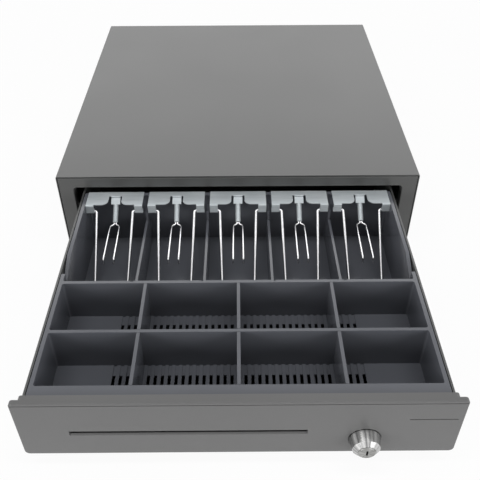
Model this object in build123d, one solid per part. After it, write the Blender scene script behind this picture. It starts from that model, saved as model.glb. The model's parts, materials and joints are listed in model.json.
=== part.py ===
from build123d import *
import math
import os

# Cash drawer with a removable till. Lengths are in millimetres.
# +Z is up, the drawer opens towards -Y, and +X is on the right of someone who faces the drawer.
# The origin is on the counter, under the middle of the box that the opened object fills.

# Driving dimensions of the case and of the room that the drawer has in it
case_width = 410.0
case_depth = 420.0
case_height = 100.0
foot_height = 6.0
rear_room = 60.2
slide_overlap = 63.5
sheet = 1.0
heavy_sheet = 1.2
bend_radius = 2.0
front_fold = 12.0
opening_side_inset = 18.0
opening_low = 9.5
opening_top_inset = 15.0
opening_corner = 4.0
frame_slit = 0.9

# Front panel
panel_gap = 2.0
panel_lip = 5.0
panel_depth = 8.8
panel_step = 6.5
panel_wall = 3.0
panel_top_corner = 3.0
panel_low_corner = 4.5
panel_edge = 1.0
media_slot_inset = 42.7
media_slot_lock_gap = 48.8
media_slot_low = 39.0
media_slot_high = 45.0
media_lip_radius = 1.4
media_sill_rise = 1.3
media_sill_depth = 1.6
trim_line_inset = 4.7
trim_line_length = 40.1
trim_line_height = 58.6
trim_line_width = 0.9
face_line_drop = 2.6
face_line_width = 0.7

# Lock
lock_inset = 79.0
lock_height = 31.5
lock_proud = 14.0
lock_barrel_radius = 9.5
lock_plug_radius = 7.45
cam_length = 27.0
cam_width = 12.0
cam_hub_radius = 8.0
cam_sheet = 2.0

# Slides
rail_thickness = 10.5
rail_height = 27.0
rail_middle = 32.5
rail_opening_gap = 1.0
rail_rear_gap = 4.8
rail_panel_gap = 0.7
ball_radius = 1.6
ball_count = 6
cage_end_room = 3.75

# Drawer tray and till
tray_lift = 3.0
tray_top_gap = 6.0
tray_hem = 8.0
till_side_gap = 1.1
till_top_gap = 5.0
till_wall = 2.5
till_side_wall = 3.6
till_rim = 10.0
till_rim_height = 6.0
coin_front_length = 56.8
coin_bar = 3.2
coin_rear_length = 58.3
coin_wall = 3.4
coin_floor_top = 33.5
bill_length = 137.0
bill_floor_top = 16.5
till_rear_wall = 5.6
comb_pitch = 6.4
comb_end_room = 52.0
comb_slot_width = 3.0
comb_slot_length = 20.0
comb_groove_length = 11.0
comb_groove_depth = 1.2
coin_divider_width = 3.2
bill_count = 5
bill_end_loss = 2.7
bill_divider_width = 2.8

# Bill clips
clip_sheet = 1.0
clip_side_gap = 3.1
bail_wire = 3.0
bail_slope = 35.4
fork_wire = 2.0

# Fits and clearances
overrun = 2.0
seat_gap = 0.3
run_gap = 0.08
pass_gap = 0.5
screw_gap = 0.1

# Screw sizes
screw_head_height = 1.8
screw_head_radius = 3.4
screw_radius = 1.7

# Places along Z, up from the counter
base_z = foot_height
top_z = base_z + case_height
opening_low_z = base_z + opening_low
opening_high_z = top_z - opening_top_inset
panel_low_z = opening_low_z + panel_gap
panel_high_z = opening_high_z - panel_gap
tray_low_z = opening_low_z + tray_lift
tray_floor_z = tray_low_z + sheet
tray_high_z = opening_high_z - tray_top_gap
rail_z = base_z + rail_middle
lock_z = base_z + lock_height
till_low_z = tray_floor_z + seat_gap
till_high_z = opening_high_z - till_top_gap
coin_floor_z = base_z + coin_floor_top
coin_floor_low_z = coin_floor_z - till_wall
bill_floor_z = base_z + bill_floor_top
clip_low_z = till_high_z - clip_sheet

# Places along Y, from the front of the opened panel to the back of the case
tray_length = case_depth - panel_depth - rear_room
rail_front = panel_depth + rail_panel_gap
rail_outer_length = case_depth - rear_room - rail_front - rail_rear_gap
drawer_travel = case_depth - rear_room - rail_front - slide_overlap
cage_length = slide_overlap - 2 * cage_end_room
case_front = (drawer_travel + lock_proud - case_depth - screw_head_height) / 2
case_back = case_front + case_depth
panel_front = case_front - drawer_travel
panel_back = panel_front + panel_depth
tray_inner_front = panel_back + sheet
tray_back = panel_back + tray_length
till_front = tray_inner_front + seat_gap
coin_front = till_front + till_rim
coin_bar_front = coin_front + coin_front_length
coin_bar_back = coin_bar_front + coin_bar
coin_wall_front = coin_bar_back + coin_rear_length
bill_front = coin_wall_front + coin_wall
bill_back = bill_front + bill_length
till_back = bill_back + till_rear_wall

# Places along X, out from the middle
case_side = case_width / 2
cover_inner = case_side - sheet
liner_inner = cover_inner - sheet
opening_half_width = case_side - opening_side_inset
panel_side = opening_half_width - panel_gap
lock_x = panel_side - lock_inset
media_slot_left = media_slot_inset - panel_side
media_slot_right = lock_x - media_slot_lock_gap
trim_line_right = panel_side - trim_line_inset
trim_line_left = trim_line_right - trim_line_length
tray_side = opening_half_width - rail_opening_gap - rail_thickness
rail_back_side = tray_side + rail_thickness
till_side = tray_side - sheet - till_side_gap
till_inner = till_side - till_side_wall
bill_pitch = 2 * (till_inner + bill_end_loss) / bill_count
clip_half_width = bill_pitch / 2 - clip_side_gap


def block(x0, x1, y0, y1, z0, z1):
    """A box between two corners."""
    return Pos((x0 + x1) / 2, (y0 + y1) / 2, (z0 + z1) / 2) * Box(x1 - x0, y1 - y0, z1 - z0)


def rod_x(x0, x1, y, z, radius):
    """A cylinder along X."""
    return Pos((x0 + x1) / 2, y, z) * Rot(0, 90, 0) * Cylinder(radius, x1 - x0)


def rod_y(y0, y1, x, z, radius):
    """A cylinder along Y."""
    return Pos(x, (y0 + y1) / 2, z) * Rot(90, 0, 0) * Cylinder(radius, y1 - y0)


def rod_z(z0, z1, x, y, radius):
    """A cylinder along Z."""
    return Pos(x, y, (z0 + z1) / 2) * Cylinder(radius, z1 - z0)


def wire(points, radii, radius):
    """A round wire along straight runs joined by bends."""
    path = FilletPolyline(*points, radius=radii)
    section = Plane(origin=path @ 0, z_dir=path % 0) * Circle(radius)
    return sweep(section, path=path)


def both_sides(right_piece):
    """A piece on the right of the drawer and its mirror image on the left."""
    return {"right": right_piece, "left": mirror(right_piece, about=Plane.YZ)}


# Places of the feet and of the screws, as distances from the case's edges
foot_inset_x = 25.0
foot_inset_y = 25.0
foot_places = [
    (side * (case_side - foot_inset_x), y)
    for side in (-1, 1)
    for y in (case_front + foot_inset_y, case_back - foot_inset_y)
]
foot_radius = 11.0
foot_recess_depth = 2.5
foot_recess_radius = 4.5
foot_screw_head = 3.8
foot_screw_radius = 2.0
foot_screw_grip = 5.0


def rubber_feet():
    """Four moulded feet with a recess for the screw's head."""
    feet = []
    for x, y in foot_places:
        foot = rod_z(0, base_z, x, y, foot_radius)
        foot = chamfer(foot.edges().group_by(Axis.Z)[0], panel_edge)
        foot -= rod_z(-overrun, foot_recess_depth, x, y, foot_recess_radius)
        foot -= rod_z(0, base_z + overrun, x, y, foot_screw_radius + screw_gap)
        feet.append(foot)
    return Compound(feet)


def foot_screws():
    """One screw up through each foot into the base."""
    screws = []
    head_low = foot_recess_depth - screw_head_height
    for x, y in foot_places:
        head = rod_z(head_low, foot_recess_depth, x, y, foot_screw_head)
        shank = rod_z(foot_recess_depth, base_z + foot_screw_grip, x, y, foot_screw_radius)
        screws.append(head + shank)
    return Compound(screws)


# Cover screws through the cover's rear flange
flange_height = 16.0
cover_screw_inset = 57.4
cover_screw_xs = [cover_screw_inset - case_side, 0, case_side - cover_screw_inset]
cover_screw_z = top_z - flange_height / 2
cover_screw_grip = 6.0


def case_cover():
    """Top and sides folded from one sheet, with a screw flange turned down at the back."""
    outer = block(-case_side, case_side, case_front, case_back, base_z, top_z)
    outer = fillet(outer.edges().filter_by(Axis.Y).group_by(Axis.Z)[-1], bend_radius)
    inner = block(
        -cover_inner, cover_inner, case_front - overrun, case_back + overrun,
        base_z - overrun, top_z - sheet,
    )
    inner = fillet(inner.edges().filter_by(Axis.Y).group_by(Axis.Z)[-1], bend_radius - sheet)
    cover = outer - inner
    flange_side = cover_inner - bend_radius
    cover += block(
        -flange_side, flange_side, case_back - sheet, case_back, top_z - flange_height, top_z - sheet / 2
    )
    hole_radius = screw_radius + screw_gap
    for x in cover_screw_xs:
        cover -= rod_y(case_back - sheet - overrun, case_back + overrun, x, cover_screw_z, hole_radius)
    return cover


def case_screws():
    """Screws that hold the cover's rear flange to the rear wall."""
    screws = []
    for x in cover_screw_xs:
        head = rod_y(case_back, case_back + screw_head_height, x, cover_screw_z, screw_head_radius)
        head = fillet(head.edges().group_by(Axis.Y)[-1], screw_head_height / 3)
        shank = rod_y(case_back - cover_screw_grip, case_back, x, cover_screw_z, screw_radius)
        screws.append(head + shank)
    return Compound(screws)


face_bend = 1.5
opening_bend = 1.0


def front_frame():
    """Folded frame round the opening, nested in the cover, with flanges turned back on both edges."""
    side = cover_inner - seat_gap
    low = base_z + sheet
    high = top_z - sheet - frame_slit
    fold_back = case_front + front_fold
    body = block(-side, side, case_front, fold_back, low, high)
    body = fillet(body.edges().filter_by(Axis.Y).group_by(Axis.Z)[-1], bend_radius - sheet)
    body = fillet(body.faces().sort_by(Axis.Y)[0].edges(), face_bend)
    pocket = block(
        heavy_sheet - side, side - heavy_sheet,
        case_front + heavy_sheet, fold_back + overrun,
        low + heavy_sheet, high - heavy_sheet,
    )
    ring = block(
        -opening_half_width - heavy_sheet, opening_half_width + heavy_sheet,
        case_front, fold_back + overrun,
        opening_low_z - heavy_sheet, opening_high_z + heavy_sheet,
    )
    ring = fillet(ring.edges().filter_by(Axis.Y), opening_corner + heavy_sheet)
    opening = block(
        -opening_half_width, opening_half_width,
        case_front - overrun, fold_back + overrun,
        opening_low_z, opening_high_z,
    )
    opening = fillet(opening.edges().filter_by(Axis.Y), opening_corner)
    frame = body - (pocket - ring) - opening
    front_face = frame.faces().filter_by(Axis.Y).sort_by(Axis.Y)[0]
    return fillet(front_face.inner_wires()[0].edges(), opening_bend)


pan_flange = 20.0
jack_x = -120.0
jack_z = base_z + 40.0
jack_half_width = 6.5
jack_half_height = 6.0


def base_pan():
    """Floor with turned-up sides and a full-height rear wall."""
    rear_y = case_back - 2 * sheet
    pan = block(-cover_inner, cover_inner, case_front, rear_y + sheet, base_z, base_z + sheet)
    for side in (-1, 1):
        pan += block(
            min(side * liner_inner, side * cover_inner), max(side * liner_inner, side * cover_inner),
            case_front + front_fold + overrun, rear_y + sheet, base_z, base_z + pan_flange,
        )
    pan += block(-liner_inner, liner_inner, rear_y, rear_y + sheet, base_z, top_z - sheet - seat_gap)
    pan -= block(
        jack_x - jack_half_width, jack_x + jack_half_width, rear_y - overrun, rear_y + overrun,
        jack_z - jack_half_height, jack_z + jack_half_height,
    )
    for x, y in foot_places:
        pan -= rod_z(base_z - overrun, base_z + overrun, x, y, foot_screw_radius + screw_gap)
    for x in cover_screw_xs:
        pan -= rod_y(rear_y - overrun, rear_y + overrun, x, cover_screw_z, screw_radius + screw_gap)
    return pan


jack_depth = 14.0
jack_rim = 1.5
jack_wall = 1.2
jack_plug_half_width = 4.9
jack_plug_half_height = 3.6


def cable_jack():
    """Socket for the cable that carries the opening signal, in the rear wall."""
    wall_y = case_back - 2 * sheet
    half_w = jack_half_width - screw_gap
    half_h = jack_half_height - screw_gap
    jack = block(
        jack_x - half_w, jack_x + half_w, wall_y - jack_depth, case_back, jack_z - half_h, jack_z + half_h
    )
    jack += block(
        jack_x - half_w - jack_rim, jack_x + half_w + jack_rim, wall_y - jack_rim, wall_y,
        jack_z - half_h, jack_z + half_h,
    )
    jack -= block(
        jack_x - jack_plug_half_width, jack_x + jack_plug_half_width,
        wall_y - jack_depth + jack_wall, case_back + overrun,
        jack_z - jack_plug_half_height, jack_z + jack_plug_half_height,
    )
    return jack


support_half_height = 21.0
support_lip = 10.0
support_front = case_front + front_fold + overrun
closed_tray_back = tray_back + drawer_travel
bumper_length = 6.0
bumper_radius = 5.0
bumper_stem_radius = 2.0
stop_tab_y = closed_tray_back + seat_gap + bumper_length
bumper_x = tray_side + rail_thickness / 2


def rail_support():
    """Channel that carries an outer rail off the case's side and ends in a stop tab."""
    web_x = rail_back_side
    low = rail_z - support_half_height
    high = rail_z + support_half_height
    back = stop_tab_y + heavy_sheet
    support = block(web_x, liner_inner, support_front, back, low, high)
    support -= block(
        web_x + heavy_sheet, liner_inner + overrun, support_front - overrun, back + overrun,
        low + heavy_sheet, high - heavy_sheet,
    )
    lip_x = liner_inner - heavy_sheet
    support += block(lip_x, liner_inner, support_front, back, high - heavy_sheet, high + support_lip)
    support += block(lip_x, liner_inner, support_front, back, base_z + sheet, low + heavy_sheet)
    support += block(
        tray_side, web_x + heavy_sheet, stop_tab_y, back,
        rail_z - rail_height / 2, rail_z + rail_height / 2,
    )
    support -= rod_y(stop_tab_y - overrun, back + overrun, bumper_x, rail_z, bumper_stem_radius + screw_gap)
    return support


def stop_bumpers():
    """Rubber stops that the closed drawer's rails meet."""
    pad = rod_y(stop_tab_y - bumper_length, stop_tab_y, bumper_x, rail_z, bumper_radius)
    stem_back = stop_tab_y + heavy_sheet + bumper_stem_radius
    stem = rod_y(stop_tab_y, stem_back, bumper_x, rail_z, bumper_stem_radius)
    return Compound(list(both_sides(pad + stem).values()))


# Section of the slides, in places shared by the rails, the cage and the balls
rail_half = rail_height / 2
race_gap = 0.05
ball_z = rail_half - heavy_sheet - race_gap - ball_radius
inner_half = ball_z - ball_radius - race_gap
ball_x = rail_back_side - rail_thickness / 2 + race_gap
cage_sheet = 0.6
cage_web_x = rail_back_side - heavy_sheet - seat_gap - cage_sheet
inner_flange_x = cage_web_x - pass_gap
rail_lip = 1.0
rail_inner_front = panel_back + panel_wall
overlap_front = case_front + rail_front
overlap_middle = (overlap_front + tray_back) / 2
cage_front = overlap_middle - cage_length / 2
stop_length = 3.0
stop_half_width = 1.0
rail_inner_side = tray_side + heavy_sheet
rail_mouth_x = rail_inner_side + seat_gap


def rail_outer():
    """Fixed rail, a channel whose flanges are the outer races."""
    y0 = overlap_front
    y1 = y0 + rail_outer_length
    rail = block(rail_mouth_x, rail_back_side, y0, y1, rail_z - rail_half, rail_z + rail_half)
    rail -= block(
        rail_mouth_x - overrun, rail_back_side - heavy_sheet, y0 - overrun, y1 + overrun,
        rail_z - rail_half + heavy_sheet, rail_z + rail_half - heavy_sheet,
    )
    stop_back = cage_front - pass_gap
    for side in (-1, 1):
        flange = rail_z + side * (rail_half - heavy_sheet / 2)
        lip = flange - side * (heavy_sheet / 2 + rail_lip)
        rail += block(
            rail_mouth_x, rail_mouth_x + heavy_sheet, y0, y1, min(flange, lip), max(flange, lip)
        )
        tab = rail_z + side * (inner_half + pass_gap)
        rail += block(
            ball_x - stop_half_width, ball_x + stop_half_width, stop_back - stop_length, stop_back,
            min(flange, tab), max(flange, tab),
        )
    return rail


def rail_inner():
    """Moving rail, a channel on the tray's side whose flanges are the inner races."""
    y0 = rail_inner_front
    y1 = tray_back
    rail = block(tray_side, inner_flange_x, y0, y1, rail_z - inner_half, rail_z + inner_half)
    rail -= block(
        rail_inner_side, inner_flange_x + overrun, y0 - overrun, y1 + overrun,
        rail_z - inner_half + heavy_sheet, rail_z + inner_half - heavy_sheet,
    )
    stop_front = cage_front + cage_length + pass_gap
    for side in (-1, 1):
        flange = rail_z + side * (inner_half - heavy_sheet / 2)
        tab = rail_z + side * (rail_half - heavy_sheet - pass_gap)
        rail += block(
            ball_x - stop_half_width, ball_x + stop_half_width, stop_front, stop_front + stop_length,
            min(flange, tab), max(flange, tab),
        )
    return rail


ball_pitch = cage_length / (ball_count + 1 / 4)
ball_ys = [overlap_middle + (i - (ball_count - 1) / 2) * ball_pitch for i in range(ball_count)]
cage_edge_x = rail_mouth_x + heavy_sheet + pass_gap


def ball_cage():
    """Folded strip that spaces the balls of both races."""
    half = ball_z + cage_sheet / 2
    cage_back = cage_front + cage_length
    cage = block(cage_edge_x, cage_web_x + cage_sheet, cage_front, cage_back, rail_z - half, rail_z + half)
    cage -= block(
        cage_edge_x - overrun, cage_web_x, cage_front - overrun, cage_back + overrun,
        rail_z - half + cage_sheet, rail_z + half - cage_sheet,
    )
    for y in ball_ys:
        cage -= rod_z(rail_z - rail_half, rail_z + rail_half, ball_x, y, ball_radius + run_gap)
    return cage


def slide_balls():
    """Steel balls between the races of one slide."""
    places = [(ball_x, y, rail_z + side * ball_z) for y in ball_ys for side in (-1, 1)]
    return Compound([Pos(*place) * Sphere(ball_radius) for place in places])


# Panel screws, from inside the tray into the panel's bosses
panel_screw_inset = 25.0
panel_screw_low = 24.0
panel_screw_top_gap = 21.0
panel_screw_grip = 5.5
panel_boss_radius = 4.0
panel_screw_side = panel_side - panel_screw_inset
panel_screw_places = [
    (x, z)
    for z in (base_z + panel_screw_low, opening_high_z - panel_screw_top_gap)
    for x in (-panel_screw_side, 0, panel_screw_side)
]
lock_recess_radius = lock_barrel_radius + 4.7
lock_recess_depth = 0.8
barrel_hole = lock_barrel_radius + screw_gap


def media_slot(y0, y1, grow):
    """Room for the flat slot, with rounded lower corners."""
    slot = block(
        media_slot_left - grow, media_slot_right + grow, y0, y1,
        base_z + media_slot_low - grow, base_z + media_slot_high + grow,
    )
    return fillet(slot.edges().filter_by(Axis.Y).group_by(Axis.Z)[0], media_lip_radius)


def media_sill():
    """Ramp in the slot's lower edge, which guides notes up into the panel."""
    low = base_z + media_slot_low
    outline = Polyline(
        (panel_front, low),
        (panel_front + media_sill_depth, low + media_sill_rise),
        (panel_front + media_sill_depth, low - panel_edge),
        (panel_front + panel_edge, low - panel_edge),
        close=True,
    )
    face = Plane.YZ * make_face(outline)
    ramp = extrude(face, media_slot_right - media_slot_left)
    return Pos(media_slot_left, 0, 0) * ramp


def front_panel():
    """Moulded panel with a lip that fills the opening and a stepped body behind it."""
    body_side = panel_side - panel_step
    lip_back = panel_front + panel_lip
    lip = block(-panel_side, panel_side, panel_front, lip_back, panel_low_z, panel_high_z)
    along = lip.edges().filter_by(Axis.Y)
    lip = fillet(along.group_by(Axis.Z)[0], panel_low_corner)
    lip = fillet(lip.edges().filter_by(Axis.Y).group_by(Axis.Z)[-1], panel_top_corner)
    lip = fillet(lip.faces().sort_by(Axis.Y)[-1].edges(), panel_edge)
    lip = fillet(lip.faces().sort_by(Axis.Y)[0].edges(), panel_edge)
    body = block(-body_side, body_side, panel_front + panel_wall, panel_back, panel_low_z, panel_high_z)
    body = fillet(body.edges().filter_by(Axis.Y), panel_top_corner)
    hollow = block(
        panel_wall - body_side, body_side - panel_wall,
        panel_front + panel_wall, panel_back + overrun,
        panel_low_z + panel_wall, panel_high_z - panel_wall,
    )
    past_hollow = panel_back + 2 * overrun
    lock_boss_radius = lock_recess_radius + panel_wall / 2
    hollow -= media_slot(panel_front, past_hollow, panel_wall / 2)
    hollow -= rod_y(panel_front, past_hollow, lock_x, lock_z, lock_boss_radius)
    for x, z in panel_screw_places:
        hollow -= rod_y(panel_front, past_hollow, x, z, panel_boss_radius)
    panel = lip + body - hollow
    before = panel_front - overrun
    panel -= media_slot(before, panel_back + overrun, 0)
    panel += media_sill()
    panel -= rod_y(before, panel_back + overrun, lock_x, lock_z, barrel_hole)
    panel -= rod_y(before, panel_front + lock_recess_depth, lock_x, lock_z, lock_recess_radius)
    for x, z in panel_screw_places:
        panel -= rod_y(panel_back - panel_screw_grip, panel_back + overrun, x, z, screw_radius + screw_gap)
    line_z = base_z + trim_line_height
    panel -= block(
        trim_line_left, trim_line_right, before, panel_front + trim_line_width,
        line_z - trim_line_width / 2, line_z + trim_line_width / 2,
    )
    face_line_z = panel_high_z - face_line_drop
    panel -= block(
        -panel_side - overrun, panel_side + overrun, before, panel_front + face_line_width,
        face_line_z - face_line_width, face_line_z,
    )
    return panel


def panel_screws():
    """Screws from inside the tray that hold the panel."""
    screws = []
    for x, z in panel_screw_places:
        head = rod_y(tray_inner_front, tray_inner_front + screw_head_height, x, z, screw_head_radius)
        shank = rod_y(panel_back - panel_screw_grip + screw_gap, tray_inner_front, x, z, screw_radius)
        screws.append(head + shank)
    return Compound(screws)


# Lengths of the lock along its axis, counted back from the panel's front face
lock_neck = 24.0
cam_gap = 0.2
tail_half = 4.0
cam_y = panel_front + lock_neck + cam_gap
cam_floor_gap = 2.0
cam_end_gap = 3.0
bezel_foot = 1.2
bezel_radius = 13.5
bezel_front_radius = 11.75
bezel_cone = 10.0
bezel_mouth = 13.2
key_slot_half_width = 0.8
key_slot_half_height = 3.2
key_slot_depth = 6.0
nut_flat = 11.0
nut_length = 3.6


def lock_housing():
    """Turned bezel and threaded barrel, bored for the plug."""
    bore = lock_plug_radius + run_gap
    front = panel_front
    outline = Polyline(
        (lock_x + bore, front - bezel_mouth),
        (lock_x + bore + pass_gap, front - bezel_mouth),
        (lock_x + bezel_front_radius, front - bezel_cone),
        (lock_x + bezel_radius, front - bezel_foot),
        (lock_x + bezel_radius, front + lock_recess_depth),
        (lock_x + lock_barrel_radius, front + lock_recess_depth),
        (lock_x + lock_barrel_radius, front + lock_neck),
        (lock_x + bore, front + lock_neck),
        close=True,
    )
    section = Plane(origin=(0, 0, lock_z)) * make_face(outline)
    return revolve(section, Axis((lock_x, 0, lock_z), (0, 1, 0)), 360)


def lock_nut():
    """Hexagonal nut behind the tray's front wall."""
    corner_radius = nut_flat / math.cos(math.pi / 6)
    prism = extrude(RegularPolygon(corner_radius, 6, rotation=30), nut_length)
    nut_back = tray_inner_front + nut_length
    nut = Pos(lock_x, nut_back, lock_z) * Rot(90, 0, 0) * prism
    return nut - rod_y(tray_inner_front - overrun, nut_back + overrun, lock_x, lock_z, barrel_hole)


def lock_plug():
    """Turning plug with a key slot in front, a square tail and a retaining head behind the cam."""
    tail_back = cam_y + cam_sheet + cam_gap
    plug = rod_y(panel_front - lock_proud, cam_y, lock_x, lock_z, lock_plug_radius)
    plug = chamfer(plug.edges().group_by(Axis.Y)[0], pass_gap)
    plug += block(
        lock_x - tail_half, lock_x + tail_half, cam_y, tail_back, lock_z - tail_half, lock_z + tail_half
    )
    plug += rod_y(tail_back, tail_back + screw_head_height, lock_x, lock_z, tail_half * math.sqrt(2))
    plug -= block(
        lock_x - key_slot_half_width, lock_x + key_slot_half_width,
        panel_front - lock_proud - overrun, panel_front - lock_proud + key_slot_depth,
        lock_z - key_slot_half_height, lock_z + key_slot_half_height,
    )
    return plug


def lock_cam():
    """Flat cam on the plug's tail, which points sideways while the lock is open."""
    cam_back = cam_y + cam_sheet
    cam = rod_y(cam_y, cam_back, lock_x, lock_z, cam_hub_radius)
    end_x = lock_x + cam_length - cam_width / 2
    cam += block(lock_x, end_x, cam_y, cam_back, lock_z - cam_width / 2, lock_z + cam_width / 2)
    cam += rod_y(cam_y, cam_back, end_x, lock_z, cam_width / 2)
    hole = tail_half + run_gap
    cam -= block(
        lock_x - hole, lock_x + hole, cam_y - overrun, cam_back + overrun, lock_z - hole, lock_z + hole
    )
    return cam


keeper_height = 3.5


def lock_keeper():
    """Angle on the base, just in front of the closed drawer's turned-down cam."""
    closed_cam_y = cam_y + drawer_travel
    keeper_back = closed_cam_y - pass_gap
    keeper_front = keeper_back - sheet - pass_gap
    left = lock_x - cam_width
    right = lock_x + cam_width
    tip_z = lock_z - cam_length
    low = base_z + sheet
    keeper = block(left, right, keeper_front, keeper_back, low, tip_z + keeper_height)
    keeper += block(left, right, keeper_back, keeper_back + cam_width, low, low + sheet)
    return keeper


def drawer_tray():
    """Sheet tray, hemmed along its sides, with holes for the slot, lock, screws and cam."""
    tray = block(-tray_side, tray_side, panel_back, tray_back, tray_low_z, tray_high_z)
    tray -= block(
        sheet - tray_side, tray_side - sheet, tray_inner_front, tray_back - sheet,
        tray_floor_z, tray_high_z + overrun,
    )
    tray -= media_slot(panel_back - overrun, tray_inner_front + overrun, sheet)
    tray -= rod_y(panel_back - overrun, tray_inner_front + overrun, lock_x, lock_z, barrel_hole)
    for x, z in panel_screw_places:
        tray -= rod_y(panel_back - overrun, tray_inner_front + overrun, x, z, screw_radius + screw_gap)
    for side in (-1, 1):
        hem_x = side * tray_side + (side - 1) * sheet / 2
        tray += block(hem_x, hem_x + sheet, panel_back, tray_back, tray_high_z - tray_hem, tray_high_z)
    drop = lock_z - tray_floor_z
    reach = math.sqrt(cam_length ** 2 - drop ** 2)
    tray -= block(
        lock_x - cam_width / 2 - cam_end_gap, lock_x + reach + cam_end_gap,
        cam_y - cam_floor_gap, cam_y + cam_sheet + cam_floor_gap,
        tray_low_z - overrun, tray_floor_z + overrun,
    )
    return tray


# Latch at the back of the case, drawn for the closed drawer and then turned to its released rest
striker_half_width = 12.0
striker_sheet = 1.5
striker_low = 16.0
striker_high = 32.0
striker_reach = 20.0
striker_arm_half = 1.0
hook_width = 5.0
hook_length = 4.0
latch_release = 20.0
latch_x = 8.0
latch_arm = 20.0
latch_arm_half = 2.5
latch_tail = 13.0
latch_sheet = 3.0
latch_low = 20.6
tooth_length = 3.5
tooth_side_gap = 1.0
latch_pin_radius = 2.5
hook_front_y = closed_tray_back + striker_reach - hook_length
tooth_back_y = hook_front_y - pass_gap
latch_y = tooth_back_y - tooth_length + latch_arm


def striker():
    """Hooked angle on the back of the tray, which the latch catches when the drawer is closed."""
    low = base_z + striker_low
    high = base_z + striker_high
    back = tray_back + striker_reach
    plate = block(-striker_half_width, striker_half_width, tray_back, tray_back + striker_sheet, low, high)
    arm = block(-striker_arm_half, striker_arm_half, tray_back, back, low, high)
    hook = block(0, striker_arm_half + hook_width, back - hook_length, back, low, high)
    return plate + arm + hook


plunger_pin_radius = 1.5
plunger_pin_gap = 0.35
plunger_y = latch_y + latch_tail
slot_rise = latch_tail / math.cos(math.radians(latch_release)) - latch_tail


def latch_lever():
    """Hooked lever on an upright pin, with a forked tail that the solenoid pulls."""
    low = base_z + latch_low
    high = low + latch_sheet
    tooth_tip = striker_arm_half + tooth_side_gap
    tail_end = plunger_y + slot_rise + plunger_pin_radius + latch_sheet
    lever = rod_z(low, high, latch_x, latch_y, latch_pin_radius + latch_sheet)
    arm_right = latch_x + 2 * latch_arm_half - striker_arm_half
    arm_left = arm_right - 2 * latch_arm_half
    lever += block(arm_left, arm_right, latch_y - latch_arm, latch_y, low, high)
    lever += block(tooth_tip, arm_right, latch_y - latch_arm, tooth_back_y, low, high)
    tail_half_width = plunger_pin_radius + plunger_pin_gap + latch_sheet / 2
    lever += block(latch_x - tail_half_width, latch_x + tail_half_width, latch_y, tail_end, low, high)
    lever -= rod_z(low - overrun, high + overrun, latch_x, latch_y, latch_pin_radius + run_gap)
    slot = plunger_pin_radius + plunger_pin_gap
    lever -= block(
        latch_x - slot, latch_x + slot, plunger_y - slot, tail_end + overrun, low - overrun, high + overrun
    )
    return lever.rotate(Axis((latch_x, latch_y, 0), (0, 0, 1)), latch_release)


solenoid_height = 16.0
plunger_radius = 4.0
plunger_stroke = latch_tail * math.radians(latch_release)
coil_radius = 8.0
coil_length = 33.0
coil_near_x = -14.0
solenoid_sheet = 1.5
plunger_tongue = 3.0
bracket_sheet = 1.5
bracket_top_z = base_z + sheet + bracket_sheet
solenoid_z = base_z + solenoid_height


def solenoid_plunger():
    """Plunger with a flat tongue and an upright pin in the latch's tail, drawn in at rest."""
    tongue_top = base_z + latch_low - screw_gap - pass_gap
    pin_top = base_z + latch_low + latch_sheet + pass_gap
    neck_x = latch_x - plunger_radius - 2 * plunger_tongue
    plunger = rod_x(coil_near_x - coil_length / 2, neck_x, plunger_y, solenoid_z, plunger_radius)
    plunger += block(
        neck_x - plunger_tongue, latch_x + plunger_tongue,
        plunger_y - plunger_tongue, plunger_y + plunger_tongue,
        tongue_top - plunger_tongue, tongue_top,
    )
    plunger += rod_z(tongue_top, pin_top, latch_x, plunger_y, plunger_pin_radius)
    return Pos(-plunger_stroke, 0, 0) * plunger


def solenoid_frame():
    """Bent frame that holds the coil's ends."""
    far_x = coil_near_x - coil_length
    depth = coil_radius + solenoid_sheet
    high = solenoid_z + depth
    frame = block(
        far_x - solenoid_sheet, coil_near_x + solenoid_sheet, plunger_y - depth, plunger_y + depth,
        bracket_top_z, high,
    )
    frame -= block(
        far_x, coil_near_x, plunger_y - depth - overrun, plunger_y + depth + overrun,
        bracket_top_z + solenoid_sheet, high + overrun,
    )
    hole_radius = plunger_radius + run_gap + screw_gap
    return frame - rod_x(far_x, coil_near_x + overrun, plunger_y, solenoid_z, hole_radius)


def solenoid_coil():
    """Wound coil on its bobbin, bored for the plunger."""
    bobbin_half = coil_radius - bracket_sheet
    far_x = coil_near_x - coil_length
    coil = rod_x(far_x, coil_near_x, plunger_y, solenoid_z, bobbin_half)
    for x in (far_x, coil_near_x - solenoid_sheet):
        coil += rod_x(x, x + solenoid_sheet, plunger_y, solenoid_z, coil_radius)
    bore_radius = plunger_radius + run_gap
    return coil - rod_x(far_x - overrun, coil_near_x + overrun, plunger_y, solenoid_z, bore_radius)


spring_radius = 2.5
spring_post_x = latch_x + 22.0
spring_post_radius = 2.0
spring_y = plunger_y - 4.0
spring_z = base_z + latch_low + latch_sheet / 2
bracket_edge = 6.0


def latch_bracket():
    """Flat bracket on the base with the spring's post."""
    left = coil_near_x - coil_length - bracket_edge
    right = spring_post_x + bracket_edge
    front = latch_y - bracket_edge
    back = plunger_y + coil_radius + solenoid_sheet + pass_gap
    bracket = block(left, right, front, back, base_z + sheet, bracket_top_z)
    bracket += rod_z(bracket_top_z, spring_z + spring_radius, spring_post_x, spring_y, spring_post_radius)
    bracket -= rod_z(base_z, bracket_top_z + overrun, latch_x, latch_y, latch_pin_radius + run_gap)
    return bracket


def latch_spring():
    """Return spring between the latch's tail and the post."""
    tail_half_width = plunger_pin_radius + plunger_pin_gap + latch_sheet / 2
    turn = math.radians(latch_release)
    arm = spring_y - spring_radius - latch_y
    tail_x = latch_x + tail_half_width / math.cos(turn) - arm * math.tan(turn) + seat_gap
    return rod_x(tail_x, spring_post_x - spring_post_radius, spring_y, spring_z, spring_radius)


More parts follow.
